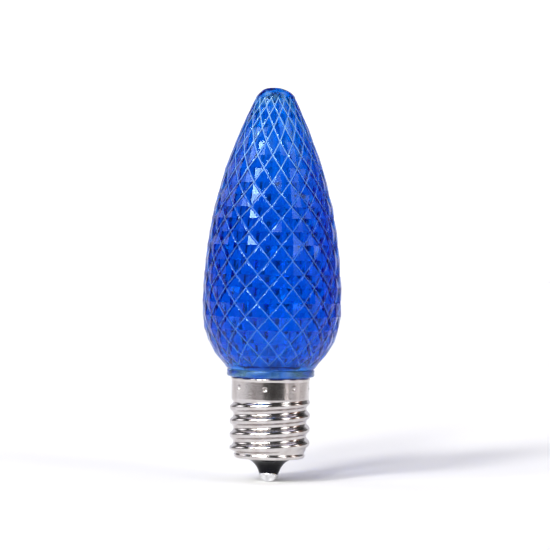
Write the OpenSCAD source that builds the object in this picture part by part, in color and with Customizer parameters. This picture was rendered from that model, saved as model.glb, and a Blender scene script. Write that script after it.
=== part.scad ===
// Faceted retrofit lamp of the C9 shape on an intermediate (E17) screw cap.
// The lamp stands on its centre contact: the origin is the lowest point of the
// contact, +Z runs up the axis to the tip of the lens, and +X is to the right
// of a viewer who looks along +Y. All sizes are in millimetres.

/* [Lens] */
// Diameter across the lattice corners at the widest row of facets
globe_d = 28.3; // [26:0.1:30]
// Number of diamond facets in one row around the lens
facets_around = 18; // [12:2:24]
// Height of a facet's peak above its own corners at the widest row
facet_rise = 0.18; // [0.06:0.02:0.4]
// Wall thickness of the lens
lens_wall = 1.7; // [1.2:0.1:1.9]
// Turn of the facet rows about the axis, in degrees
lattice_turn = -2.4; // [-10:0.1:10]
// Sideways lean of the moulded tip where the gate was trimmed
tip_lean = 0.35; // [0:0.05:0.5]

/* [Collar and neck] */
// Outer diameter of the collar that meets the top of the cap
collar_d = 18; // [17.4:0.1:18]
// Height of the collar
collar_h = 1.65; // [1.2:0.05:1.65]
// Diameter of the neck inside the skirt of the cap
neck_d = 15.2; // [14.9:0.1:15.3]
// Bore of the neck
neck_bore_d = 12; // [11.8:0.1:12]

/* [Screw cap] */
// Diameter across the thread crests
crest_d = 16.5; // [16.25:0.01:16.64]
// Diameter across the thread roots
root_d = 15; // [14.88:0.02:15.27]
// Pitch of the thread, nine turns to the inch
pitch = 2.822; // [2.822:0.001:2.822]
// Diameter of the plain skirt above the thread
skirt_d = 15.96; // [15.9:0.02:16.1]
// Thickness of the sheet metal
sheet = 0.3; // [0.25:0.01:0.3]
// Number of crimp dimples that lock the skirt to the neck
crimps = 8; // [4:1:8]
// Diameter of one crimp dimple
crimp_d = 0.9; // [0.6:0.1:1]

/* [Base] */
// Depth of the black insulator inside the cap, above the rim
insulator_depth = 2.8; // [1.5:0.1:3.5]
// Diameter of the solder drop on the centre contact
solder_d = 4.2; // [3.9:0.1:4.3]

/* [Light engine] */
// Diameter of the round circuit board
board_d = 11.8; // [11.4:0.1:11.8]
// Thickness of the circuit board
board_t = 1; // [0.8:0.1:1]
// Diameter of a diode's body and dome
diode_d = 3; // [2.8:0.1:3]
// Height of a diode above the board
diode_h = 5.3; // [4.8:0.1:6]
// Distance of the four outer diodes from the axis
diode_ring = 3.9; // [3.85:0.01:3.95]
// Turn of the board about the axis, in degrees
board_turn = 20; // [0:5:355]
// Diameter of the lead from the board to the centre contact
lead_d = 0.5; // [0.4:0.05:0.5]

/* [Hidden] */

blue = [0.05, 0.25, 0.85, 0.6];
nickel = [0.75, 0.73, 0.70];

// ---------- heights along the axis ----------
rim_z = 4.9;            // underside of the cap's turned-in rim
skirt_z = 17.2;         // lower end of the plain skirt
cap_top = 21.65;        // top of the cap's curl, where the collar sits
collar_top = cap_top + collar_h;
neck_z = 14.4;          // lower end of the lens neck
holder_z = 13.2;        // underside of the board holder
board_z = 20;           // underside of the circuit board, on top of its holder
crimp_z = 19.4;         // height of the ring of crimps

// ---------- lens outline ----------
// Height and corner radius of each row of lattice corners, from the collar up.
// The rows close up towards both ends of the lens.
rows = [[24.3, 9.75], [26.3, 11.4], [28.9, 12.85], [31.6, 13.75], [34.2, 14.05], [37, 14.15],
        [40.1, 14.05], [42.7, 13.9], [45.6, 13.65], [48.7, 13.35], [51.3, 12.95], [54.1, 12.5],
        [56.4, 12.05], [58.9, 11.4], [61.3, 10.75], [64.2, 10], [66.8, 9.05], [69.6, 8],
        [72.5, 6.85], [75, 5.75], [76.9, 4.85], [78.7, 4.08]];
// Height, radius and share of the lean of the smooth rings of the tip above the last row
tip = [[79.45, 3.64, 0], [79.95, 3.08, -0.1], [80.4, 2.4, -0.6], [80.7, 1.6, -0.8]];
tip_top = 80.85;
n_rows = len(rows);
across = 2 * facets_around;
grow = globe_d / 28.3;

// Radius of the lattice at row k
function row_r(k) = rows[k][1] * (k == 0 ? min(grow, 1.03) : grow);
// Height of the facet peak above the lattice at row k; the end rows stay plain
function row_rise(k) = (k == 0 || k == n_rows - 1) ? 0
    : facet_rise * max(0.5, rows[k][1] / 14.15);
// Angle of the i-th point of a row, measured from +X
function lattice_a(i) = -90 + lattice_turn + i * 360 / across;

function ring_pts(r, z, share = 0) = [for (i = [0 : across - 1])
    [r * cos(lattice_a(i)) + tip_lean * share, r * sin(lattice_a(i)), z]];
// One row: lattice corners alternate with facet peaks
function row_pts(k) = [for (i = [0 : across - 1])
    let (r = row_r(k) + ((i + k) % 2 == 0 ? 0 : row_rise(k)))
    [r * cos(lattice_a(i)), r * sin(lattice_a(i)), rows[k][0]]];

// Index of point i of ring q
function at(q, i) = q * across + i % across;
// The two triangles between rings q and q + 1 at column i. The shared edge
// runs from corner to corner, along the groove between two facets.
function pair(q, i) = (i + q) % 2 == 1
    ? [[at(q, i), at(q + 1, i), at(q + 1, i + 1)], [at(q, i), at(q + 1, i + 1), at(q, i + 1)]]
    : [[at(q, i), at(q + 1, i), at(q, i + 1)], [at(q, i + 1), at(q + 1, i), at(q + 1, i + 1)]];

// Solid body of the globe, faceted outside
module globe() {
    n_rings = 1 + n_rows + len(tip);
    pts = concat(ring_pts(9.1, collar_top - 0.1),
                 [for (k = [0 : n_rows - 1]) each row_pts(k)],
                 [for (t = tip) each ring_pts(t[1], t[0], t[2])],
                 [[-tip_lean * 0.6, 0, tip_top]]);
    top = n_rings * across;
    faces = concat([[for (i = [0 : across - 1]) i]],
                   [for (q = [0 : n_rings - 2]) for (i = [0 : across - 1]) each pair(q, i)],
                   [for (i = [0 : across - 1]) [at(n_rings - 1, i), top, at(n_rings - 1, i + 1)]]);
    polyhedron(points = pts, faces = faces, convexity = 4);
}

// Points of an arc, used for rounded edges in turned profiles
function arc(cx, cy, r, a0, a1, n = 6) = [for (i = [0 : n])
    [cx + r * cos(a0 + (a1 - a0) * i / n), cy + r * sin(a0 + (a1 - a0) * i / n)]];

// Inside of the lens, from the neck bore to the closed tip
module cavity() {
    rotate_extrude($fn = 96)
        polygon(concat([[0, neck_z - 1], [neck_bore_d / 2, neck_z - 1], [neck_bore_d / 2, 21.8],
                        [7, collar_top]],
                       [for (k = [0 : 20]) [row_r(k) - lens_wall, rows[k][0]]],
                       [for (p = [[0.92, 77.5], [0.8, 78.1], [0.6, 78.6], [0.35, 78.95], [0, 79.1]])
                           [p[0] * (row_r(20) - lens_wall), p[1]]]));
}

// Collar and neck: one moulding with the globe
module collar_neck() {
    rotate_extrude($fn = 96)
        polygon(concat([[5, neck_z], [6.65, neck_z], [6.85, neck_z + 0.2], [6.85, 16.6],
                        [neck_d / 2, 17.5], [neck_d / 2, crimp_z - 0.8], [7.1, crimp_z - 0.6],
                        [7.1, crimp_z + 0.6], [neck_d / 2, crimp_z + 0.8], [neck_d / 2, cap_top]],
                       arc(collar_d / 2 - 0.35, cap_top + 0.35, 0.35, -90, 0),
                       arc(collar_d / 2 - 0.35, collar_top - 0.35, 0.35, 0, 45),
                       [[collar_d / 2 - 0.4, collar_top], [5, collar_top]]));
}

module lens() {
    color(blue)
    difference() {
        union() {
            globe();
            collar_neck();
        }
        cavity();
    }
}

// ---------- screw cap ----------
// The rolled thread has round crests and roots of one radius. The radius
// follows from the pitch and the depth, so that the two arcs meet in a tangent.
depth = (crest_d - root_d) / 2;
roll_r = (pow(pitch / 2, 2) + pow(depth, 2)) / (4 * depth);
flank = asin(pitch / 4 / roll_r);
// Height of a crest at the left of the front view (angle 180)
crest_ref = 12.34;

// Radius of the sheet at distance s from a crest, for crest and root arcs rc and rr
function rolled(s, rc, rr) = s < rc * sin(flank)
    ? crest_d / 2 - roll_r + sqrt(rc * rc - s * s)
    : root_d / 2 + roll_r - sqrt(rr * rr - pow(pitch / 2 - s, 2));
// Distance along the axis from a point to the nearest crest
function from_crest(a, z) =
    let (u = (z - crest_ref) / pitch - (a - 180) / 360, f = u - floor(u))
    pitch * min(f, 1 - f);
// Share of the thread that is formed at height z: it runs out into the skirt and the rim
function smooth(x) = let (c = min(1, max(0, x))) c * c * (3 - 2 * c);
function formed(z) = smooth((17.1 - z) / 1) * smooth((z - 5.9) / 0.85);
function mix(a, b, t) = a + (b - a) * t;
// Plain sheet that the thread runs out into. Above the rim it is drawn in a little,
// so that the rim stands out as a bead.
function plain_out(z) = z > 10 ? skirt_d / 2 - 0.02 : mix(7.28, 7.12, smooth((z - 5.68) / 0.37));
function plain_in(z) = z > 10 ? skirt_d / 2 - sheet + 0.02 : plain_out(z) - sheet + 0.04;
function sheet_out(a, z) = mix(plain_out(z), rolled(from_crest(a, z), roll_r, roll_r), formed(z));
function sheet_in(a, z) = mix(plain_in(z),
    rolled(from_crest(a, z), roll_r - sheet, roll_r + sheet), formed(z));

thread_lo = 5.4;
thread_hi = 17.4;
thread_cols = 44;
thread_rows = 36;

// Threaded tube of thin sheet: outer wall, inner wall and two end rings
module thread_tube() {
    n = thread_cols;
    m = thread_rows;
    function zz(j) = thread_lo + (thread_hi - thread_lo) * j / m;
    function aa(i) = 360 * i / n;
    outer = [for (j = [0 : m]) for (i = [0 : n - 1])
        let (r = sheet_out(aa(i), zz(j))) [r * cos(aa(i)), r * sin(aa(i)), zz(j)]];
    inner = [for (j = [0 : m]) for (i = [0 : n - 1])
        let (r = sheet_in(aa(i), zz(j))) [r * cos(aa(i)), r * sin(aa(i)), zz(j)]];
    function o(j, i) = j * n + i % n;
    function v(j, i) = (m + 1) * n + j * n + i % n;
    faces = concat(
        [for (j = [0 : m - 1]) for (i = [0 : n - 1]) each
            [[o(j, i), o(j + 1, i), o(j + 1, i + 1)], [o(j, i), o(j + 1, i + 1), o(j, i + 1)]]],
        [for (j = [0 : m - 1]) for (i = [0 : n - 1]) each
            [[v(j, i), v(j + 1, i + 1), v(j + 1, i)], [v(j, i), v(j, i + 1), v(j + 1, i + 1)]]],
        [for (i = [0 : n - 1]) each
            [[o(0, i), o(0, i + 1), v(0, i + 1)], [o(0, i), v(0, i + 1), v(0, i)]]],
        [for (i = [0 : n - 1]) each
            [[o(m, i), v(m, i + 1), o(m, i + 1)], [o(m, i), v(m, i), v(m, i + 1)]]]);
    polyhedron(points = concat(outer, inner), faces = faces, convexity = 8);
}

// Plain skirt with the curl at its top edge
module skirt() {
    rotate_extrude($fn = 96)
        polygon(concat([[skirt_d / 2 - sheet, skirt_z], [skirt_d / 2, skirt_z],
                        [skirt_d / 2, cap_top - 0.85]],
                       arc(skirt_d / 2 - 0.27, cap_top - 0.42, 0.42, -38, 80, 10),
                       [[skirt_d / 2 - sheet, cap_top]]));
}

// Rim at the foot of the cap, turned in under the insulator
module rim() {
    rotate_extrude($fn = 96)
        polygon(concat([[7.3 - sheet, 5.7]],
                       [for (p = arc(6.8, rim_z + 0.5, 0.5 - sheet, 0, -90)) p],
                       [[6.2, rim_z + sheet], [6.2, rim_z]],
                       arc(6.8, rim_z + 0.5, 0.5, -90, 0),
                       [[7.3, 5.7]]));
}

module at_crimps() {
    for (i = [0 : crimps - 1])
        rotate([0, 0, -98 + i * 360 / crimps])
            translate([skirt_d / 2 + 0.12, 0, crimp_z])
                children();
}

module screw_shell() {
    color(nickel)
    difference() {
        union() {
            skirt();
            thread_tube();
            rim();
            // The dimples show as small bosses inside the skirt
            intersection() {
                at_crimps() sphere(d = crimp_d + 0.9, $fn = 32);
                translate([0, 0, crimp_z - 1]) cylinder(r = skirt_d / 2 - 0.1, h = 2, $fn = 96);
            }
        }
        at_crimps() sphere(d = crimp_d, $fn = 32);
    }
}

// ---------- base ----------
module base_insulator() {
    color([0.05, 0.05, 0.06])
    difference() {
        rotate_extrude($fn = 96)
            polygon([[0, 1.8], [2.05, 1.8], [2.12, 2.1], [2.4, 2.75], [2.75, 3.3], [3.2, 3.8],
                     [3.75, 4.25], [4.45, 4.6], [5.3, 4.82], [6.15, rim_z],
                     [6.15, rim_z + sheet], [6.8, rim_z + sheet],
                     [6.8, rim_z + insulator_depth - 0.3], [6.5, rim_z + insulator_depth],
                     [0, rim_z + insulator_depth]]);
        translate([0, 0, 1]) cylinder(r = 0.95, h = 3.3, $fn = 48);
        translate([0, 0, 1]) cylinder(r = 0.45, h = 10, $fn = 48);
    }
}

// Eyelet: a flanged tube set in the foot of the insulator
module centre_contact() {
    color([0.8, 0.68, 0.4])
    difference() {
        union() {
            translate([0, 0, 1.45]) cylinder(r = 1.6, h = 0.35, $fn = 48);
            translate([0, 0, 1.45]) cylinder(r = 0.93, h = 2.6, $fn = 48);
        }
        translate([0, 0, 1]) cylinder(r = 0.6, h = 4, $fn = 48);
    }
}

module contact_solder() {
    color([0.83, 0.84, 0.86])
    difference() {
        rotate_extrude($fn = 96)
            polygon([[0, 0], [0.6, 0], [1.05, 0.14], [1.45, 0.45], [1.78, 0.85],
                     [solder_d / 2 - 0.06, 1.25], [solder_d / 2, 1.6], [solder_d / 2 - 0.05, 1.8],
                     [0, 1.8]]);
        translate([0, 0, 1.45]) cylinder(r = 1.61, h = 1, $fn = 48);
        translate([0, 0, 0.5]) cylinder(r = lead_d / 2, h = 2, $fn = 24);
    }
}

// ---------- light engine ----------
// Five upright diodes stand on a round board that closes a cup-shaped holder in
// the neck. The parts that limit the current hang under the board.
module board_frame() {
    rotate([0, 0, board_turn]) children();
}

module board_holder() {
    color([0.93, 0.93, 0.92])
    board_frame()
    difference() {
        union() {
            translate([0, 0, holder_z]) cylinder(r = neck_bore_d / 2 - 0.05, h = board_z - holder_z, $fn = 96);
            translate([0, 0, holder_z]) cylinder(r = 6.6, h = neck_z - holder_z, $fn = 96);
        }
        translate([0, 0, neck_z]) cylinder(r = 4.7, h = 10, $fn = 96);
        // Holes for the two leads
        translate([0, 0, holder_z - 1]) cylinder(r = 0.35, h = 12, $fn = 24);
        translate([3.4, 0, holder_z - 1]) cylinder(r = 0.25, h = 12, $fn = 24);
    }
}

module circuit_board() {
    color([0.95, 0.95, 0.93])
    translate([0, 0, board_z]) cylinder(r = board_d / 2, h = board_t, $fn = 96);
}

// Upright diode: flange, body and round dome
module diode(a, r) {
    color([0.95, 0.95, 0.85])
    board_frame() rotate([0, 0, a]) translate([r, 0, board_z + board_t])
    rotate_extrude($fn = 48)
        polygon(concat([[0, 0], [diode_d / 2 + 0.35, 0], [diode_d / 2 + 0.35, 0.9], [diode_d / 2, 1]],
                       arc(0, diode_h - diode_d / 2, diode_d / 2, 0, 90, 8)));
}

module led_centre() { diode(0, 0); }
module led_1() { diode(45, diode_ring); }
module led_2() { diode(135, diode_ring); }
module led_3() { diode(225, diode_ring); }
module led_4() { diode(315, diode_ring); }

module bridge_rectifier() {
    color([0.12, 0.12, 0.12])
    board_frame() {
        translate([-3.2, -2.1, board_z - 2.1]) cube([2.6, 4.2, 2]);
        // Four flat legs
        for (s = [-1, 1]) for (x = [-2.8, -1.5])
            translate([x, s * 2.1 - 0.4, board_z - 0.25]) cube([0.5, 0.8, 0.25]);
    }
}

module chip_resistor(y) {
    color([0.15, 0.15, 0.17])
    board_frame() translate([0.7, y, board_z - 0.6]) cube([1.6, 3.2, 0.6]);
}
module resistor_1() { chip_resistor(0.4); }
module resistor_2() { chip_resistor(-3.6); }

// Straight lead from the board down to the solder of the contact
module centre_lead() {
    color([0.8, 0.5, 0.3])
    translate([0, 0, 0.5]) cylinder(r = lead_d / 2, h = board_z - 0.5, $fn = 24);
}

// Thin lead that leaves the holder, turns out under the neck and runs up
// between the neck and the cap, where it is trapped
module shell_lead() {
    w = 0.13;
    x0 = 3.4;
    x1 = 7.03;
    b = 0.6;
    z0 = 12.2;
    color([0.8, 0.5, 0.3])
    board_frame() {
        translate([x0, 0, z0 + b]) cylinder(r = w, h = board_z - z0 - b, $fn = 24);
        translate([x0 + b, 0, z0 + b]) rotate([90, 0, 0]) rotate([0, 0, 180])
            rotate_extrude(angle = 90, $fn = 48) translate([b, 0]) circle(r = w, $fn = 24);
        translate([x0 + b, 0, z0]) rotate([0, 90, 0]) cylinder(r = w, h = x1 - x0 - 2 * b, $fn = 24);
        translate([x1 - b, 0, z0 + b]) rotate([90, 0, 0]) rotate([0, 0, 270])
            rotate_extrude(angle = 90, $fn = 48) translate([b, 0]) circle(r = w, $fn = 24);
        translate([x1, 0, z0 + b]) cylinder(r = w, h = 15.9 - z0 - b, $fn = 24);
    }
}

lens();
screw_shell();
base_insulator();
centre_contact();
contact_solder();
board_holder();
circuit_board();
led_centre();
led_1();
led_2();
led_3();
led_4();
bridge_rectifier();
resistor_1();
resistor_2();
centre_lead();
shell_lead();
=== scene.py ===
import math

import bpy
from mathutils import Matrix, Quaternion, Vector, noise

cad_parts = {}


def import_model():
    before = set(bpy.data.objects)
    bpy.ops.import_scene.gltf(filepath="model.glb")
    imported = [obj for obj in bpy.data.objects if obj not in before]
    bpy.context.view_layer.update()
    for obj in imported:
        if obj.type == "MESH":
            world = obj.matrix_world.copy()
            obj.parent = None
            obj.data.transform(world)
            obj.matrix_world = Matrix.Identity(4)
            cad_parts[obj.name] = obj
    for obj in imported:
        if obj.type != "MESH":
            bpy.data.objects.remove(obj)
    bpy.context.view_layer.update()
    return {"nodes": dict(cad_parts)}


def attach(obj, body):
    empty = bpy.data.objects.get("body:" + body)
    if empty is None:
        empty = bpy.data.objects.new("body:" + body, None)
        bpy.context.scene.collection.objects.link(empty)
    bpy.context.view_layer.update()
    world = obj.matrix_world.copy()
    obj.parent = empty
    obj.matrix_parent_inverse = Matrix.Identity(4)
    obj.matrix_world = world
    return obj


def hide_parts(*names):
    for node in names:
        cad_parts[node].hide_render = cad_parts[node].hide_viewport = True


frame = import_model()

scene = bpy.context.scene
MM = 0.001


# ---------------------------------------------------------------- helpers
def smooth(x):
    x = min(1.0, max(0.0, x))
    return x * x * (3 - 2 * x)


def mix(a, b, t):
    return a + (b - a) * t


def arc(cx, cy, r, a0, a1, n):
    """Points of an arc in a turned profile, angles in degrees."""
    out = []
    for i in range(n + 1):
        a = math.radians(a0 + (a1 - a0) * i / n)
        out.append((cx + r * math.cos(a), cy + r * math.sin(a)))
    return out


def make_object(name, verts, faces, material, sharp=()):
    """A smooth-shaded mesh object; verts in millimetres, sharp is a set of vertex pairs."""
    mesh = bpy.data.meshes.new(name)
    mesh.from_pydata([(x * MM, y * MM, z * MM) for x, y, z in verts], [], faces)
    mesh.validate()
    mesh.polygons.foreach_set("use_smooth", [True] * len(mesh.polygons))
    if sharp:
        marks = [tuple(sorted(e.vertices)) in sharp for e in mesh.edges]
        attribute = mesh.attributes.new("sharp_edge", "BOOLEAN", "EDGE")
        attribute.data.foreach_set("value", marks)
    mesh.update()
    ob = bpy.data.objects.new(name, mesh)
    scene.collection.objects.link(ob)
    mesh.materials.append(material)
    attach(ob, "root")
    return ob


class Mat:
    """A node material with one Principled shader."""

    def __init__(self, name):
        self.mat = bpy.data.materials.new(name)
        self.mat.use_nodes = True
        self.tree = self.mat.node_tree
        self.tree.nodes.clear()
        self.out = self.tree.nodes.new("ShaderNodeOutputMaterial")
        self.shader = self.tree.nodes.new("ShaderNodeBsdfPrincipled")
        self.link(self.shader.outputs[0], self.out.inputs["Surface"])

    def link(self, a, b):
        self.tree.links.new(a, b)

    def set(self, **values):
        for key, value in values.items():
            self.shader.inputs[key.replace("_", " ")].default_value = value

    def node(self, kind, **inputs):
        n = self.tree.nodes.new(kind)
        for key, value in inputs.items():
            slot = n.inputs[key.replace("_", " ")]
            if isinstance(value, bpy.types.NodeSocket):
                self.link(value, slot)
            else:
                slot.default_value = value
        return n

    def coords(self, scale=(1, 1, 1)):
        tc = self.node("ShaderNodeTexCoord")
        m = self.node("ShaderNodeMapping")
        self.link(tc.outputs["Object"], m.inputs["Vector"])
        m.inputs["Scale"].default_value = scale
        return m.outputs[0]

    def noise(self, scale, detail=3.0, rough=0.5, stretch=(1, 1, 1), distortion=0.0):
        n = self.node("ShaderNodeTexNoise", Scale=scale, Detail=detail, Roughness=rough,
                      Distortion=distortion)
        self.link(self.coords(stretch), n.inputs["Vector"])
        return n.outputs["Fac"]

    def ramp(self, value, stops):
        n = self.node("ShaderNodeValToRGB")
        self.link(value, n.inputs[0])
        el = n.color_ramp.elements
        while len(el) < len(stops):
            el.new(0.5)
        for e, (pos, colour) in zip(el, stops):
            e.position = pos
            e.color = (*colour, 1) if len(colour) == 3 else colour
        return n.outputs[0]

    def range(self, value, a, b, c, d):
        n = self.node("ShaderNodeMapRange", From_Min=a, From_Max=b, To_Min=c, To_Max=d)
        n.clamp = True
        self.link(value, n.inputs["Value"])
        return n.outputs[0]

    def math(self, op, a, b=None):
        n = self.tree.nodes.new("ShaderNodeMath")
        n.operation = op
        for slot, value in zip(n.inputs, (a, b)):
            if value is None:
                continue
            if isinstance(value, bpy.types.NodeSocket):
                self.link(value, slot)
            else:
                slot.default_value = value
        return n.outputs[0]

    def bump(self, height, distance, strength=1.0, normal=None):
        n = self.node("ShaderNodeBump", Distance=distance, Strength=strength)
        self.link(height, n.inputs["Height"])
        if normal is not None:
            self.link(normal, n.inputs["Normal"])
        return n.outputs[0]


# ---------------------------------------------------------------- materials
def lens_material():
    m = Mat("lens_blue")
    m.set(IOR=1.42, Transmission_Weight=1.0, Specular_Tint=(0.42, 0.66, 1.0, 1))
    # the cut grooves of the mould leave frosted lines, the facets are polished; the same attribute also paints the
    # upper lens paler, a painted sheen
    frost = m.node("ShaderNodeAttribute")
    frost.attribute_name = "groove"
    frost = frost.outputs["Fac"]
    grain = m.noise(900, detail=3.0)
    frost = m.math("MULTIPLY", frost, m.range(grain, 0.3, 0.6, 0.75, 1.0))
    m.link(m.ramp(frost, [(0.0, (0.085, 0.375, 0.85)), (0.5, (0.20, 0.56, 0.98)), (1.0, (0.42, 0.72, 1.0))]),
           m.shader.inputs["Base Color"])
    m.link(m.range(frost, 0.45, 1.0, 0.03, 0.40), m.shader.inputs["Roughness"])
    m.link(m.range(frost, 0.25, 1.5, 1.0, 0.45), m.shader.inputs["Transmission Weight"])
    wave = m.noise(220, detail=2.0)
    fine = m.noise(1500, detail=2.0)
    height = m.math("ADD", m.math("MULTIPLY", wave, 3.0), fine)
    m.link(m.bump(height, 0.0000006, 0.3), m.shader.inputs["Normal"])
    volume = m.node("ShaderNodeVolumeAbsorption", Density=1500.0)
    volume.inputs["Color"].default_value = (0.0, 0.89, 0.985, 1)
    m.link(volume.outputs[0], m.out.inputs["Volume"])
    return m.mat


def nickel_material():
    m = Mat("nickel")
    m.set(Metallic=1.0)
    # soft stains run up and down the sheet, fine pits are everywhere
    streak = m.noise(500, detail=4.0, stretch=(1, 1, 0.18))
    cloud = m.noise(260, detail=3.0)
    pit = m.noise(3600, detail=3.0, rough=0.6)
    tone = m.ramp(streak, [(0.30, (0.50, 0.455, 0.44)), (0.52, (0.62, 0.585, 0.575)),
                           (0.75, (0.68, 0.655, 0.655))])
    m.link(tone, m.shader.inputs["Base Color"])
    rough = m.math("ADD", m.range(cloud, 0.3, 0.7, 0.10, 0.16), m.range(pit, 0.35, 0.7, 0.0, 0.05))
    m.link(rough, m.shader.inputs["Roughness"])
    dents = m.math("ADD", m.math("MULTIPLY", cloud, 1.6), pit)
    m.link(m.bump(dents, 0.000014, 0.8), m.shader.inputs["Normal"])
    return m.mat


def insulator_material():
    m = Mat("insulator_black")
    m.set(Base_Color=(0.003, 0.003, 0.006, 1), IOR=1.45, Specular_IOR_Level=0.15)
    cloud = m.noise(700, detail=4.0)
    m.link(m.range(cloud, 0.3, 0.7, 0.10, 0.24), m.shader.inputs["Roughness"])
    m.link(m.bump(m.noise(2200, detail=3.0), 0.00002, 0.5), m.shader.inputs["Normal"])
    return m.mat


def solder_material():
    m = Mat("solder")
    m.set(Metallic=1.0)
    cloud = m.noise(900, detail=4.0)
    tone = m.ramp(cloud, [(0.32, (0.50, 0.50, 0.53)), (0.6, (0.84, 0.84, 0.87))])
    m.link(tone, m.shader.inputs["Base Color"])
    m.link(m.range(cloud, 0.3, 0.7, 0.30, 0.14), m.shader.inputs["Roughness"])
    m.link(m.bump(m.noise(1800, detail=4.0), 0.00006, 0.8), m.shader.inputs["Normal"])
    return m.mat


def metal_material(name, light, dark, scale, rough):
    m = Mat(name)
    m.set(Metallic=1.0)
    cloud = m.noise(scale, detail=4.0)
    m.link(m.ramp(cloud, [(0.3, dark), (0.65, light)]), m.shader.inputs["Base Color"])
    m.link(m.range(cloud, 0.3, 0.7, rough * 1.3, rough * 0.7), m.shader.inputs["Roughness"])
    m.link(m.bump(m.noise(scale * 4, detail=3.0), 0.00001, 0.6), m.shader.inputs["Normal"])
    return m.mat


def plastic_material(name, light, dark, scale, rough, bump=0.00001):
    m = Mat(name)
    cloud = m.noise(scale, detail=4.0)
    m.link(m.ramp(cloud, [(0.35, dark), (0.65, light)]), m.shader.inputs["Base Color"])
    m.link(m.range(cloud, 0.3, 0.7, rough * 1.2, rough * 0.8), m.shader.inputs["Roughness"])
    m.link(m.bump(m.noise(scale * 6, detail=3.0), bump, 0.7), m.shader.inputs["Normal"])
    return m.mat


# ---------------------------------------------------------------- lens
ROWS = [(24.3, 9.75), (26.3, 11.4), (28.9, 12.85), (31.6, 13.75), (34.2, 14.05), (37.0, 14.15),
        (40.1, 14.05), (42.7, 13.9), (45.6, 13.65), (48.7, 13.35), (51.3, 12.95), (54.1, 12.5),
        (56.4, 12.05), (58.9, 11.4), (61.3, 10.75), (64.2, 10.0), (66.8, 9.05), (69.6, 8.0),
        (72.5, 6.85), (75.0, 5.75), (76.9, 4.85), (78.7, 4.08)]
TURN = -2.4            # turn of the lattice, degrees
AROUND = 36            # lattice columns, two for each facet
RISE = 0.18            # height of a facet's peak
GROOVE = 0.25          # half the width of the groove between facets
GROOVE_DEPTH = 0.11
WALL = 1.7             # wall of the lens, and how much thicker it is behind a peak
SWELL = 0.7
COLUMNS = 144          # columns of the turned parts


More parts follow.
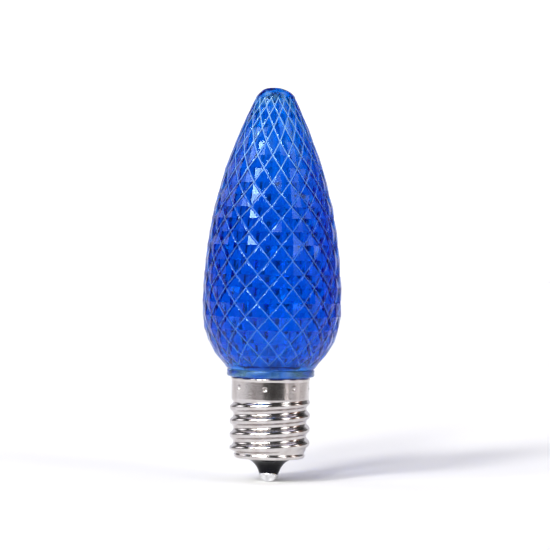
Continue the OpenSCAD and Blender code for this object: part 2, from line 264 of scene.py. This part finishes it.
def lens_object():
    verts, faces, sharp = [], [], set()
    last = len(ROWS) - 1

    def is_corner(p):
        return (p[0] + p[1]) % 2 == 0

    def angle(u):
        return math.radians(-90 + TURN + u * 360 / AROUND)

    def slope(k):
        a, b = max(0, k - 1), min(last, k + 1)
        return (ROWS[b][1] - ROWS[a][1]) / (ROWS[b][0] - ROWS[a][0])

    def node_point(p):
        i, k = p
        lift = 0 if is_corner(p) or k in (0, last) else RISE * max(0.5, ROWS[k][1] / 14.15)
        r, a = ROWS[k][1] + lift, angle(i)
        return Vector((r * math.cos(a), r * math.sin(a), ROWS[k][0]))

    def node_normal(p):
        i, k = p
        a = angle(i)
        return Vector((math.cos(a), math.sin(a), -slope(k))).normalized()

    def groove_share(k):
        """Width of the groove as a share of the way from a cell's edge to its peak."""
        w = ROWS[k][1] * math.sin(math.radians(360 / AROUND))
        h = (ROWS[min(last, k + 1)][0] - ROWS[max(0, k - 1)][0]) / (1 if k in (0, last) else 2)
        return min(0.34, GROOVE / (w * h / math.hypot(w, h)))

    STEPS = [0, 0.22, 0.44, 0.66, 0.84, 1.0, 1.25]
    PEAK = len(STEPS)
    made = {}
    frosted = {}

    def point(c, p, level):
        """Vertex on the line from corner c to peak p."""
        c, p = (c[0] % AROUND, c[1]), (p[0] % AROUND, p[1])
        key = ("c", c) if level == 0 else ("p", p) if level == PEAK else (c, p, level)
        if key not in made:
            share = 1.0 if level == PEAK else STEPS[level] * groove_share(p[1])
            depth = 0.0 if level == PEAK or STEPS[level] >= 1 else \
                GROOVE_DEPTH * 0.5 * (1 + math.cos(math.pi * STEPS[level]))
            # columns wrap, so the pair is unwrapped before it is mixed
            a, b = node_point(c), node_point(p)
            n = node_normal(c).lerp(node_normal(p), share).normalized()
            made[key] = len(verts)
            verts.append(tuple(a.lerp(b, share) - n * depth))
            if level < PEAK and STEPS[level] < 1:
                # grooves are frosted less in the lower rows and fully in the upper ones, a painted sheen like the
                # paler tip
                frosted[made[key]] = (1 - smooth(STEPS[level] / 0.8)) * mix(0.8, 1.0, smooth((p[1] - 9) / 9))
        return made[key]

    def add(face, outward):
        a, b, c = (Vector(verts[v]) for v in face[:3])
        if (b - a).cross(c - a).dot(outward) < 0:
            face = face[::-1]
        faces.append(tuple(face))

    def facet(c1, c2, p):
        out = node_normal(p)
        one = [point(c1, p, n) for n in range(PEAK + 1)]
        two = [point(c2, p, n) for n in range(PEAK + 1)]
        for n in range(PEAK - 1):
            add([one[n], two[n], two[n + 1], one[n + 1]], out)
        add([one[PEAK - 1], two[PEAK - 1], one[PEAK]], out)
        for c, line in ((c1, one), (c2, two)):
            flat = p[1] in (0, last)
            if not flat:
                for n in range(5, PEAK):
                    sharp.add(tuple(sorted((line[n], line[n + 1]))))

    for k in range(last):
        for i in range(AROUND):
            if (i + k) % 2 == 0:
                c1, c2, peaks = (i, k), (i + 1, k + 1), ((i + 1, k), (i, k + 1))
            else:
                c1, c2, peaks = (i + 1, k), (i, k + 1), ((i, k), (i + 1, k + 1))
            for p in peaks:
                facet(c1, c2, p)

    def row_ring(k):
        """Every vertex on one row line, with its place around the lens in columns."""
        out = []
        for i in range(AROUND):
            a, b = (i, k), (i + 1, k)
            share = groove_share(k)
            if is_corner(a):
                for n in range(PEAK):
                    out.append((i + STEPS[n] * share, point(a, b, n)))
            else:
                out.append((float(i), point(b, a, PEAK)))
                for n in range(PEAK - 1, 0, -1):
                    out.append((i + 1 - STEPS[n] * share, point(b, a, n)))
        return out

    def ring(r, z, shift=0.0, wobble=0.0):
        out = []
        for j in range(COLUMNS):
            u = j * AROUND / COLUMNS
            a = angle(u)
            rr = r
            if wobble:
                rr += wobble * noise.noise(Vector((math.cos(a) * r, math.sin(a) * r, z)) * 0.33)
            out.append((u, len(verts)))
            verts.append((rr * math.cos(a) + shift, rr * math.sin(a), z))
        return out

    def zipper(lower, upper):
        """Triangles between two closed rings; upper lies further along the surface."""
        na, nb, i, j = len(lower), len(upper), 0, 0
        while i < na or j < nb:
            ua = lower[(i + 1) % na][0] + AROUND * ((i + 1) // na)
            ub = upper[(j + 1) % nb][0] + AROUND * ((j + 1) // nb)
            if j >= nb or (i < na and ua <= ub):
                faces.append((lower[i % na][1], lower[(i + 1) % na][1], upper[j % nb][1]))
                i += 1
            else:
                faces.append((lower[i % na][1], upper[(j + 1) % nb][1], upper[j % nb][1]))
                j += 1

    # tip: the trimmed gate leaves it a little lopsided
    rings = [ring(r, z, s) for z, r, s in
             ((78.95, 4.0, 0.02), (79.2, 3.85, 0.02), (79.45, 3.64, 0.01), (79.7, 3.4, 0.0),
              (79.95, 3.08, -0.03), (80.2, 2.72, -0.1), (80.4, 2.4, -0.2), (80.55, 2.06, -0.27),
              (80.68, 1.68, -0.28), (80.77, 1.3, -0.25), (80.82, 0.95, -0.22), (80.845, 0.55, -0.2))]
    zipper(row_ring(last), rings[0])
    for a, b in zip(rings, rings[1:]):
        zipper(a, b)
    top = len(verts)
    verts.append((-0.2, 0, 80.85))
    for j in range(COLUMNS):
        faces.append((rings[-1][j][1], rings[-1][(j + 1) % COLUMNS][1], top))

    # from the lowest row down over the collar and neck, then up inside to the closed end
    outside = [(9.5, 23.95), (9.27, 23.6), (9.1, 23.38), (8.95, 23.27), (8.83, 23.22), (8.8, 23.15)]
    outside += arc(8.62, 22.86, 0.38, 45, 0, 5) + arc(8.62, 22.05, 0.38, 0, -80, 7)
    outside += [(8.4, 21.65), (7.64, 21.65), (7.6, 21.61), (7.6, 20.2), (7.1, 20.0), (7.1, 18.8),
                (7.6, 18.6), (7.6, 17.5), (6.85, 16.6), (6.85, 14.6), (6.65, 14.4), (6.05, 14.4),
                (6.0, 14.45), (6.0, 18.0), (6.0, 21.7), (6.05, 21.88), (6.9, 23.15)]
    before = row_ring(0)
    for r, z in outside + [(7.05, 23.4), (7.5, 23.9)]:
        now = ring(r, z)
        zipper(now, before)
        before = now
        if r > 8.5 and z < 23.5:
            for u, v in now:
                a = angle(u)
                mark = noise.noise(Vector((math.cos(a) * 2.2, math.sin(a) * 2.2, z * 4)))
                frosted[v] = 0.6 + 0.4 * mark

    # the inside carries the same lattice, a little thicker behind each facet's peak
    inner_rows = ROWS[:21]
    inner = {}
    for k, (z, r) in enumerate(inner_rows):
        for i in range(AROUND):
            a = angle(i)
            rr = r - WALL - (0 if (i + k) % 2 == 0 or k in (0, 20) else SWELL * max(0.5, r / 14.15))
            inner[i, k] = len(verts)
            verts.append((rr * math.cos(a), rr * math.sin(a), z))
    zipper([(float(i), inner[i, 0]) for i in range(AROUND)], before)
    for k in range(20):
        for i in range(AROUND):
            j = (i + 1) % AROUND
            a, b, c, d = inner[i, k], inner[j, k], inner[j, k + 1], inner[i, k + 1]
            if (i + k) % 2 == 0:
                halves = ((a, c, b), (a, d, c))
            else:
                halves = ((a, d, b), (b, d, c))
            for face in halves:
                faces.append(face)
                for m in range(3):
                    sharp.add(tuple(sorted((face[m], face[(m + 1) % 3]))))
    before = [(float(i), inner[i, 20]) for i in range(AROUND)]
    for r, z in ((2.9, 77.5), (2.5, 78.1), (1.9, 78.6), (1.1, 78.95), (0.4, 79.08)):
        now = ring(r, z)
        zipper(now, before)
        before = now
        for u, v in now:
            frosted[v] = 0.55
    end = len(verts)
    verts.append((0, 0, 79.1))
    frosted[end] = 0.55
    for j in range(COLUMNS):
        faces.append((before[(j + 1) % COLUMNS][1], before[j][1], end))
    ob = make_object("lens_visual", verts, faces, lens_material(), sharp)
    groove = ob.data.attributes.new("groove", "FLOAT", "POINT")
    # towards the tip the facets are made paler and the grooves whiter, in soft patches: painted sheen for the
    # overhead light that the upper facets reflect
    frost_and_tip_sheen = []
    for v, (x, y, z) in enumerate(verts):
        high = smooth((z - 52) / 20)
        patch = noise.noise(Vector((x + 9, y, z)) * 0.9)
        frost_and_tip_sheen.append(max(frosted.get(v, 0.0) * (1 + 0.4 * high), high * (0.26 + 0.8 * patch)))
    groove.data.foreach_set("value", frost_and_tip_sheen)
    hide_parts("lens")
    return ob


# ---------------------------------------------------------------- screw cap
CREST, ROOT, PITCH, SHEET = 8.25, 7.5, 2.822, 0.3
ROLL = ((PITCH / 2) ** 2 + (CREST - ROOT) ** 2) / (4 * (CREST - ROOT))
FLANK = math.asin(PITCH / 4 / ROLL)
CRIMPS = [-98 + 45 * i for i in range(8)]


def rolled(s, rc, rr):
    if s < rc * math.sin(FLANK):
        return CREST - ROLL + math.sqrt(max(0.0, rc * rc - s * s))
    return ROOT + ROLL - math.sqrt(max(0.0, rr * rr - (PITCH / 2 - s) ** 2))


def from_crest(deg, z):
    u = (z - 12.34) / PITCH - (deg - 180) / 360
    f = u - math.floor(u)
    return PITCH * min(f, 1 - f)


def formed(z):
    return smooth((17.12 - z) / 1.0) * smooth((z - 5.9) / 0.85)


def plain(z):
    """Radius of the plain sheet; above the rim it is drawn in, so that the rim is a bead."""
    return 7.98 if z > 10 else mix(7.3, 7.12, smooth((z - 5.62) / 0.4))


def shell_object():
    columns = 360
    profile = []  # (kind, z or point) once round the sheet, starting under the rim
    profile += [("p", p) for p in ((6.2, 4.92), (6.23, 4.9), (6.5, 4.9))]
    profile += [("p", p) for p in arc(6.8, 5.4, 0.5, -90, 0, 8)] + [("p", (7.3, 5.6))]
    steps = 96
    profile += [("o", 5.72 + (17.15 - 5.72) * i / steps) for i in range(steps + 1)]
    skirt = [17.25, 17.6, 18.0, 18.4, 18.65]
    skirt += [18.75 + 0.065 * i for i in range(21)]
    skirt += [20.2, 20.45, 20.7]
    profile += [("s", z) for z in skirt]
    profile += [("p", (7.98, 20.78)), ("p", (7.985, 20.82))]
    profile += [("p", (8.0, 20.87)), ("p", (8.035, 20.92))]
    profile += [("p", p) for p in arc(7.71, 21.23, 0.42, -38, 80, 14)]
    profile += [("p", (7.72, 21.64)), ("p", (7.68, 21.6)), ("p", (7.68, 21.0))]
    profile += [("t", z) for z in (20.2, 20.0, 19.8, 19.6, 19.4, 19.2, 19.0, 18.8, 18.6, 17.6)]
    profile += [("i", 17.15 - (17.15 - 5.72) * i / 40) for i in range(41)]
    profile += [("p", (7.0, 5.6))] + [("p", p) for p in arc(6.8, 5.4, 0.2, 0, -90, 4)]
    profile += [("p", (6.5, 5.2)), ("p", (6.23, 5.2)), ("p", (6.2, 5.17))]

    def dimple(deg, z, wall):
        """How far the crimps push the wall in."""
        push = 0.0
        for c in CRIMPS:
            d = (deg - c + 180) % 360 - 180
            q = math.hypot(math.radians(d) * 8, z - 19.4)
            if wall == "s":
                push += 0.34 * smooth((0.42 - q) / 0.26) - 0.02 * smooth((0.7 - q) / 0.28)
            else:
                push += 0.46 * smooth((0.85 - q) / 0.55)
        return push

    verts, faces = [], []
    for j in range(columns):
        deg = 360 * j / columns
        ca, sa = math.cos(math.radians(deg)), math.sin(math.radians(deg))
        for kind, value in profile:
            if kind == "p":
                r, z = value
            else:
                z = value
                if kind == "o":
                    r = mix(plain(z), rolled(from_crest(deg, z), ROLL, ROLL), formed(z))
                elif kind == "i":
                    r = mix(plain(z) - SHEET, rolled(from_crest(deg, z), ROLL - SHEET, ROLL + SHEET), formed(z))
                elif kind == "s":
                    r = 7.98 - dimple(deg, z, "s")
                else:
                    r = 7.68 - dimple(deg, z, "t")
            # thin rolled sheet is never quite round
            r += 0.012 * noise.noise(Vector((ca * 3, sa * 3, z * 0.35)))
            verts.append((r * ca, r * sa, z))
    n = len(profile)
    for j in range(columns):
        a, b = j * n, (j + 1) % columns * n
        for i in range(n):
            k = (i + 1) % n
            faces.append((a + i, b + i, b + k, a + k))
    ob = make_object("screw_shell_visual", verts, faces, nickel_material())
    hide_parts("screw_shell")
    return ob


# ---------------------------------------------------------------- base
def turned(name, profile, columns, material, node, shape=None):
    """A closed turned piece; profile runs from the axis round the outside and back to the axis."""
    verts, faces = [], []
    rings = []
    for r, z in profile:
        if r < 1e-6:
            rings.append([len(verts)] * columns)
            verts.append((0, 0, z) if shape is None else shape(0, 0, z))
            continue
        row = []
        for j in range(columns):
            a = 2 * math.pi * j / columns
            p = (r * math.cos(a), r * math.sin(a), z)
            row.append(len(verts))
            verts.append(p if shape is None else shape(*p))
        rings.append(row)
    for a, b in zip(rings, rings[1:]):
        for j in range(columns):
            k = (j + 1) % columns
            face = []
            for v in (a[j], a[k], b[k], b[j]):
                if v not in face:
                    face.append(v)
            if len(face) > 2:
                faces.append(tuple(face))
    ob = make_object(name, verts, faces, material)
    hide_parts(node)
    return ob


def rounded(points, radius=0.12, n=3):
    """The profile with its corners cut to small arcs."""
    out = [points[0]]
    for a, b, c in zip(points, points[1:], points[2:]):
        va, vc = Vector(a) - Vector(b), Vector(c) - Vector(b)
        d = min(radius, va.length * 0.45, vc.length * 0.45)
        p, q = Vector(b) + va.normalized() * d, Vector(b) + vc.normalized() * d
        for i in range(n + 1):
            t = i / n
            out.append(tuple((p * (1 - t) + Vector(b) * t) * (1 - t) + (Vector(b) * (1 - t) + q * t) * t))
    out.append(points[-1])
    return out


def insulator_object():
    # concave cone under the rim, with the lead's bore through it
    cone = [(2.02, 1.8), (2.1, 1.95), (2.22, 2.3), (2.42, 2.75), (2.7, 3.2), (3.05, 3.65),
            (3.5, 4.05), (4.0, 4.38), (4.6, 4.65), (5.3, 4.82), (6.15, 4.88)]
    profile = [(0.95, 1.82)] + cone + [(6.16, 5.2), (6.7, 5.22), (6.8, 5.4), (6.8, 7.4), (6.5, 7.7),
                                       (0.5, 7.7), (0.45, 7.65), (0.45, 4.3), (0.95, 4.3), (0.95, 1.82)]
    columns = 128
    profile = rounded(profile, 0.1, 2)[:-1]
    verts, faces = [], []
    n = len(profile)
    for j in range(columns):
        a = 2 * math.pi * j / columns
        for r, z in profile:
            verts.append((r * math.cos(a), r * math.sin(a), z))
    for j in range(columns):
        p, q = j * n, (j + 1) % columns * n
        for i in range(n):
            k = (i + 1) % n
            faces.append((p + i, q + i, q + k, p + k))
    ob = make_object("base_insulator_visual", verts, faces, insulator_material())
    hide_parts("base_insulator")
    return ob


def solder_object():
    def lump(x, y, z):
        """Hand-made drop: a wavy upper edge and shallow lumps, flat where it stands."""
        r = math.hypot(x, y)
        a = math.atan2(y, x)
        keep = smooth(z / 0.35)
        swell = 1 + keep * (0.055 * noise.noise(Vector((x, y, z)) * 0.9)
                            + 0.035 * noise.noise(Vector((x, y, z)) * 2.3 + Vector((7, 0, 0))))
        edge = smooth((z - 0.9) / 0.9) * smooth((r - 1.2) / 0.7)
        rise = edge * (0.16 * math.sin(3 * a + 0.6) + 0.09 * math.sin(5 * a + 2.0) + 0.05)
        return x * swell, y * swell, z + rise * 0.8

    profile = [(0, 0), (0.35, 0), (0.6, 0), (0.75, 0.03), (0.92, 0.085), (1.1, 0.165), (1.28, 0.28),
               (1.47, 0.42), (1.64, 0.58), (1.79, 0.76), (1.91, 0.95), (2.0, 1.15), (2.06, 1.35),
               (2.08, 1.55), (2.05, 1.7), (1.96, 1.8), (1.8, 1.83), (1.62, 1.8), (1.61, 1.45),
               (0.8, 1.45), (0.26, 1.45), (0.25, 0.52), (0, 0.5)]
    return turned("contact_solder_visual", profile, 96, solder_material(), "contact_solder", lump)


# ---------------------------------------------------------------- stage
def floor_object():
    """White paper that runs back from the lamp, with a grey panel on its left and a dark brown panel on its right;
    the brown panel is painted shade, seen in the metal's reflections.
    """
    mesh = bpy.data.meshes.new("floor")
    y0, y1, w, far = -0.119, 2.2, 0.3, 2.2
    xs = (-far, -w, w, far)
    mesh.from_pydata([(x, y, 0) for y in (y0, y1) for x in xs], [],
                     [(0, 1, 5, 4), (1, 2, 6, 5), (2, 3, 7, 6)])
    # the grey left panel darkens what the metal reflects on its left; the dark brown right panel is painted shade
    # in its reflections on the right
    for n, (name, colour) in enumerate((("floor_left_grey_panel", (0.68, 0.66, 0.67)), ("studio_floor", (0.93, 0.93, 0.935)),
                                        ("floor_right_painted_shade", (0.36, 0.31, 0.29)))):
        m = Mat(name)
        m.set(Base_Color=(*colour, 1), Roughness=0.6, Specular_IOR_Level=0.2)
        mesh.materials.append(m.mat)
        mesh.polygons[n].material_index = n
    ob = bpy.data.objects.new("floor", mesh)
    scene.collection.objects.link(ob)


def world():
    """A white studio. Softboxes and one dark gap are patches of the surroundings, given by
    their azimuth (0 towards the camera, positive to its right) and elevation in degrees."""
    w = bpy.data.worlds.new("studio")
    scene.world = w
    w.use_nodes = True
    t = w.node_tree
    t.nodes.clear()
    out = t.nodes.new("ShaderNodeOutputWorld")
    back = t.nodes.new("ShaderNodeBackground")
    t.links.new(back.outputs[0], out.inputs[0])
    tc = t.nodes.new("ShaderNodeTexCoord")
    sep = t.nodes.new("ShaderNodeSeparateXYZ")
    t.links.new(tc.outputs["Generated"], sep.inputs[0])

    def op(kind, a, b=None, c=None):
        n = t.nodes.new("ShaderNodeMath")
        n.operation = kind
        for slot, value in zip(n.inputs, (a, b, c)):
            if value is None:
                continue
            if isinstance(value, bpy.types.NodeSocket):
                t.links.new(value, slot)
            else:
                slot.default_value = value
        return n.outputs[0]

    deg = 180 / math.pi
    az = op("MULTIPLY", op("ARCTAN2", sep.outputs[0], op("MULTIPLY", sep.outputs[1], -1.0)), deg)
    el = op("MULTIPLY", op("ARCSINE", sep.outputs[2]), deg)

    def edge(value, a, b):
        """0 at a and 1 at b, smooth between."""
        n = t.nodes.new("ShaderNodeMapRange")
        n.interpolation_type = "SMOOTHSTEP"
        t.links.new(value, n.inputs["Value"])
        n.inputs["From Min"].default_value = a
        n.inputs["From Max"].default_value = b
        return n.outputs[0]

    def patch(az0, az1, el0, el1, soft):
        x = op("MULTIPLY", edge(az, az0, az0 + soft), edge(az, az1, az1 - soft))
        y = op("MULTIPLY", edge(el, el0, el0 + soft), edge(el, el1, el1 - soft))
        return op("MULTIPLY", x, y)

    level = None
    colour = None

    def over(base, new, mask):
        n = t.nodes.new("ShaderNodeMix")
        n.data_type = "RGBA"
        t.links.new(mask, n.inputs[0])
        if isinstance(base, bpy.types.NodeSocket):
            t.links.new(base, n.inputs[6])
        else:
            n.inputs[6].default_value = (*base, 1)
        n.inputs[7].default_value = (*new, 1)
        return n.outputs[2]

    # white paper stands behind the lamp; the room above and in front of it is dim
    side = op("ABSOLUTE", az)
    c = over(ROOM, WALL_TONE, op("MULTIPLY", edge(el, 34, 14), edge(side, 104, 120)))
    c = over(c, PAPER, op("MULTIPLY", edge(el, 14, 5.6), edge(side, 144, 158)))
    c = over(c, FLAGS, op("MULTIPLY", edge(el, 32, 20), op("MULTIPLY", edge(side, 138, 148), edge(side, 176, 166))))
    for spot in PATCHES:
        az0, az1, el0, el1, soft, rgb = spot
        c = over(c, rgb, patch(az0, az1, el0, el1, soft))
    t.links.new(c, back.inputs["Color"])
    back.inputs["Strength"].default_value = 1.0
    w.cycles.sampling_method = "MANUAL"
    w.cycles.sample_map_resolution = 1024


ROOM = (0.04, 0.039, 0.038)
WALL_TONE = (0.20, 0.20, 0.21)
PAPER = (1.15, 1.15, 1.17)
FLAGS = (0.82, 0.83, 0.90)
PATCHES = [
    # softboxes high up, a dim one overhead
    (-150, 170, 66, 100, 8, (0.9, 0.88, 1.08)),
    (-142, -80, 48, 76, 8, (1.45, 1.42, 1.85)),
    (72, 150, 48, 76, 8, (1.45, 1.42, 1.85)),
    # grey walls in front, a brown one on the right
    (-70, -16, -16, 6, 8, (0.32, 0.30, 0.31)),
    (40, 76, -16, 2, 8, (0.32, 0.27, 0.26)),
    (66, 112, -2, 30, 6, (0.26, 0.13, 0.09)),
    # key light and weaker lamps on the left
    (-42, -27, 17, 42, 2, (35.0, 35.0, 33.6)),
    (-21, -11.5, 15, 38, 2, (33.0, 33.0, 31.8)),
    (-62.5, -49, 16, 44, 2, (8.5, 8.5, 8.3)),
    (-120, -86, 7, 34, 6, (2.1, 2.1, 2.2)),
    # small lamp above the camera, a tall box and strip lamps on the right
    (-6.2, -2.8, 22, 35, 1, (16.0, 16.0, 16.0)),
    (37, 64, 12, 52, 5, (3.4, 3.35, 3.3)),
    (83, 95, 10, 32, 3, (4.0, 3.9, 3.8)),
    (44.5, 56.5, -1.5, 6, 2, (5.5, 5.3, 5.2)),
    (85.5, 97, -1.5, 6, 2, (3.2, 3.1, 3.0)),
]


def camera():
    """150 to 200 mm lens just above the cap, looking slightly down, with the photo's tilt."""
    data = bpy.data.cameras.new("camera")
    data.sensor_width = 36
    data.lens = 175.3
    data.shift_x = (275 - 272.2) / 550
    data.shift_y = (287.0 - 275) / 550
    data.clip_start, data.clip_end = 0.01, 20
    ob = bpy.data.objects.new("camera", data)
    scene.collection.objects.link(ob)
    e = math.radians(1.35)
    back = Vector((0, -math.cos(e), math.sin(e)))
    ob.location = Vector((0, 0, 0.040)) + back * 0.550
    ob.rotation_mode = "QUATERNION"
    ob.rotation_quaternion = (-back).to_track_quat("-Z", "Y") @ Quaternion((0, 0, 1), math.radians(1.04))
    scene.camera = ob


lens_object()
shell_object()
insulator_object()
solder_object()

brass = metal_material("contact_brass", (0.80, 0.62, 0.30), (0.62, 0.45, 0.20), 900, 0.25)
copper = metal_material("lead_copper", (0.86, 0.50, 0.34), (0.66, 0.34, 0.22), 1400, 0.22)
holder = plastic_material("holder_white", (0.86, 0.86, 0.84), (0.78, 0.78, 0.76), 500, 0.5)
board = plastic_material("board_white", (0.86, 0.88, 0.86), (0.74, 0.78, 0.75), 350, 0.35)
package = plastic_material("led_package", (0.90, 0.92, 0.95), (0.80, 0.84, 0.90), 800, 0.18)
black = plastic_material("component_black", (0.035, 0.035, 0.036), (0.02, 0.02, 0.021), 1200, 0.5)
dark = plastic_material("resistor_dark", (0.05, 0.05, 0.055), (0.025, 0.025, 0.03), 1500, 0.3)
for name, material in {
        "centre_contact": brass, "board_holder": holder, "circuit_board": board,
        "led_centre": package, "led_1": package, "led_2": package, "led_3": package,
        "led_4": package, "bridge_rectifier": black, "resistor_1": dark, "resistor_2": dark,
        "centre_lead": copper,
        "shell_lead": copper}.items():
    slots = frame["nodes"][name].material_slots
    for s in slots:
        s.material = material

floor_object()
world()
camera()

scene.view_settings.view_transform = "Standard"
scene.view_settings.look = "None"
scene.view_settings.exposure = 0.0
scene.cycles.max_bounces = 24
scene.cycles.transmission_bounces = 20
scene.cycles.glossy_bounces = 8
scene.cycles.diffuse_bounces = 4
scene.cycles.transparent_max_bounces = 8
scene.cycles.sample_clamp_indirect = 6.0
